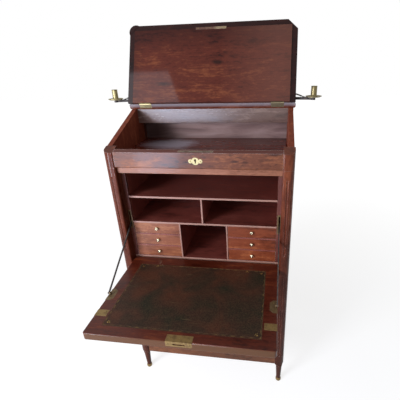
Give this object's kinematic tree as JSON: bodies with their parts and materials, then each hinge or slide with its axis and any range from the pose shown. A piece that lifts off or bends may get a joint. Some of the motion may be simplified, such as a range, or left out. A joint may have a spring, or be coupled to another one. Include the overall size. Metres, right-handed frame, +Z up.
{
  "type": "escritoire",
  "caption": "Standing mahogany writing cabinet with a sloping lid over a well, a stayed fall front lined with leather, a fitted interior of shelves and drawers, and a cupboard below.",
  "frame": {"origin": "on the floor, under the middle of the whole object as it stands open", "axes": "+X to the right of a person facing the front, +Y towards the back, +Z up"},
  "size_m": [0.9422, 0.8665, 1.6212],
  "materials": {
    "mahogany": "worn french polish",
    "dark_interior": "old polish",
    "drawer_veneer": "polished veneer",
    "back_pine": "bare wood",
    "writing_leather": "worn, with a gilt tooled border",
    "bright_brass": "polished",
    "dull_brass": "tarnished",
    "dark_iron": "dark, worn bright on edges"
  },
  "bodies": {
    "carcase": {"right_front_post": "mahogany", "left_front_post": "mahogany", "right_rear_post": "mahogany", "left_rear_post": "mahogany", "right_side_panel": "mahogany", "left_side_panel": "mahogany", "back_panel": "back_pine", "plinth_rail": "mahogany", "waist_rail": "mahogany", "cupboard_floor": "dark_interior", "writing_floor": "dark_interior", "frieze": "mahogany", "fall_head_rail": "mahogany", "well_floor": "dark_interior", "hinge_fascia": "mahogany", "top_ledge": "mahogany", "fitment_stiles": "dark_interior", "fitment_sides": "dark_interior", "upper_shelf": "dark_interior", "drawer_shelf": "dark_interior", "fitment_partitions": "dark_interior", "drawer_blades": "drawer_veneer", "stay_slot_plates": "dull_brass", "frieze_escutcheon": "bright_brass", "lid_lock_strip": "bright_brass", "foot_caps": "dull_brass", "fall_pivot_pins": "dull_brass", "door_pivot_pins": "dull_brass", "ledge_hinge_leaves": "bright_brass", "candle_arm_posts": "dark_iron"},
    "lid": {"lid_panel": "mahogany", "lid_moulding": "mahogany", "lid_strike_plate": "dull_brass", "lid_hinge_leaves": "bright_brass"},
    "fall": {"fall_panel": "mahogany", "fall_leather": "writing_leather", "fall_lock": "dull_brass", "fall_side_plates": "dull_brass", "stay_brackets": "dull_brass"},
    "right_stay": {"right_stay": "dark_iron"},
    "left_stay": {"left_stay": "dark_iron"},
    "right_candle_arm": {"right_candle_arm": "dark_iron", "right_candle_socket": "dull_brass"},
    "left_candle_arm": {"left_candle_arm": "dark_iron", "left_candle_socket": "dull_brass"},
    "right_door": {"right_door": "mahogany", "door_key_plate": "bright_brass"},
    "left_door": {"left_door": "mahogany"},
    "right_low_drawer": {"right_low_drawer": "drawer_veneer", "right_low_knob": "bright_brass"},
    "right_middle_drawer": {"right_middle_drawer": "drawer_veneer", "right_middle_knob": "bright_brass"},
    "right_top_drawer": {"right_top_drawer": "drawer_veneer", "right_top_knob": "bright_brass"},
    "left_low_drawer": {"left_low_drawer": "drawer_veneer", "left_low_knob": "bright_brass"},
    "left_middle_drawer": {"left_middle_drawer": "drawer_veneer", "left_middle_knob": "bright_brass"},
    "left_top_drawer": {"left_top_drawer": "drawer_veneer", "left_top_knob": "bright_brass"}
  },
  "joints": [
    {"name": "lid_hinge", "type": "hinge", "parent": "carcase", "child": "lid", "pos_m": [0, 0.28886, 1.30317], "axis": [1, 0, 0], "range_deg": [0, 134.5]},
    {"name": "fall_pivot", "type": "hinge", "parent": "carcase", "child": "fall", "pos_m": [0, -0.01314, 0.664], "axis": [-1, 0, 0], "range_deg": [0, 90]},
    {"name": "right_stay_pivot", "type": "hinge", "parent": "fall", "child": "right_stay", "pos_m": [0.313, -0.24314, 0.69149], "axis": [1, 0, 0], "range_deg": [0, 52]},
    {"name": "right_arm_pivot", "type": "hinge", "parent": "carcase", "child": "right_candle_arm", "pos_m": [0.29, 0.35086, 1.30317], "axis": [0, 0, 1], "range_deg": [0, 190]},
    {"name": "right_door_pivot", "type": "hinge", "parent": "carcase", "child": "right_door", "pos_m": [0.307, -0.01014, 0.3815], "axis": [0, 0, -1], "range_deg": [-95, 0]},
    {"name": "right_low_drawer_slide", "type": "slide", "parent": "carcase", "child": "right_low_drawer", "axis": [0, 1, 0], "range_m": [-0.2, 0]},
    {"name": "right_middle_drawer_slide", "type": "slide", "parent": "carcase", "child": "right_middle_drawer", "axis": [0, 1, 0], "range_m": [-0.2, 0]},
    {"name": "right_top_drawer_slide", "type": "slide", "parent": "carcase", "child": "right_top_drawer", "axis": [0, 1, 0], "range_m": [-0.2, 0]},
    {"name": "left_stay_pivot", "type": "hinge", "parent": "fall", "child": "left_stay", "pos_m": [-0.313, -0.24314, 0.69149], "axis": [1, 0, 0], "range_deg": [0, 52]},
    {"name": "left_arm_pivot", "type": "hinge", "parent": "carcase", "child": "left_candle_arm", "pos_m": [-0.29, 0.35086, 1.30317], "axis": [0, 0, -1], "range_deg": [0, 190]},
    {"name": "left_door_pivot", "type": "hinge", "parent": "carcase", "child": "left_door", "pos_m": [-0.307, -0.01014, 0.3815], "axis": [0, 0, 1], "range_deg": [-95, 0]},
    {"name": "left_low_drawer_slide", "type": "slide", "parent": "carcase", "child": "left_low_drawer", "axis": [0, 1, 0], "range_m": [-0.2, 0]},
    {"name": "left_middle_drawer_slide", "type": "slide", "parent": "carcase", "child": "left_middle_drawer", "axis": [0, 1, 0], "range_m": [-0.2, 0]},
    {"name": "left_top_drawer_slide", "type": "slide", "parent": "carcase", "child": "left_top_drawer", "axis": [0, 1, 0], "range_m": [-0.2, 0]}
  ],
  "couplings": [
    {"joint": "right_stay_pivot", "follows": "fall_pivot", "ratio": 0.56667},
    {"joint": "left_stay_pivot", "follows": "fall_pivot", "ratio": 0.56667}
  ]
}
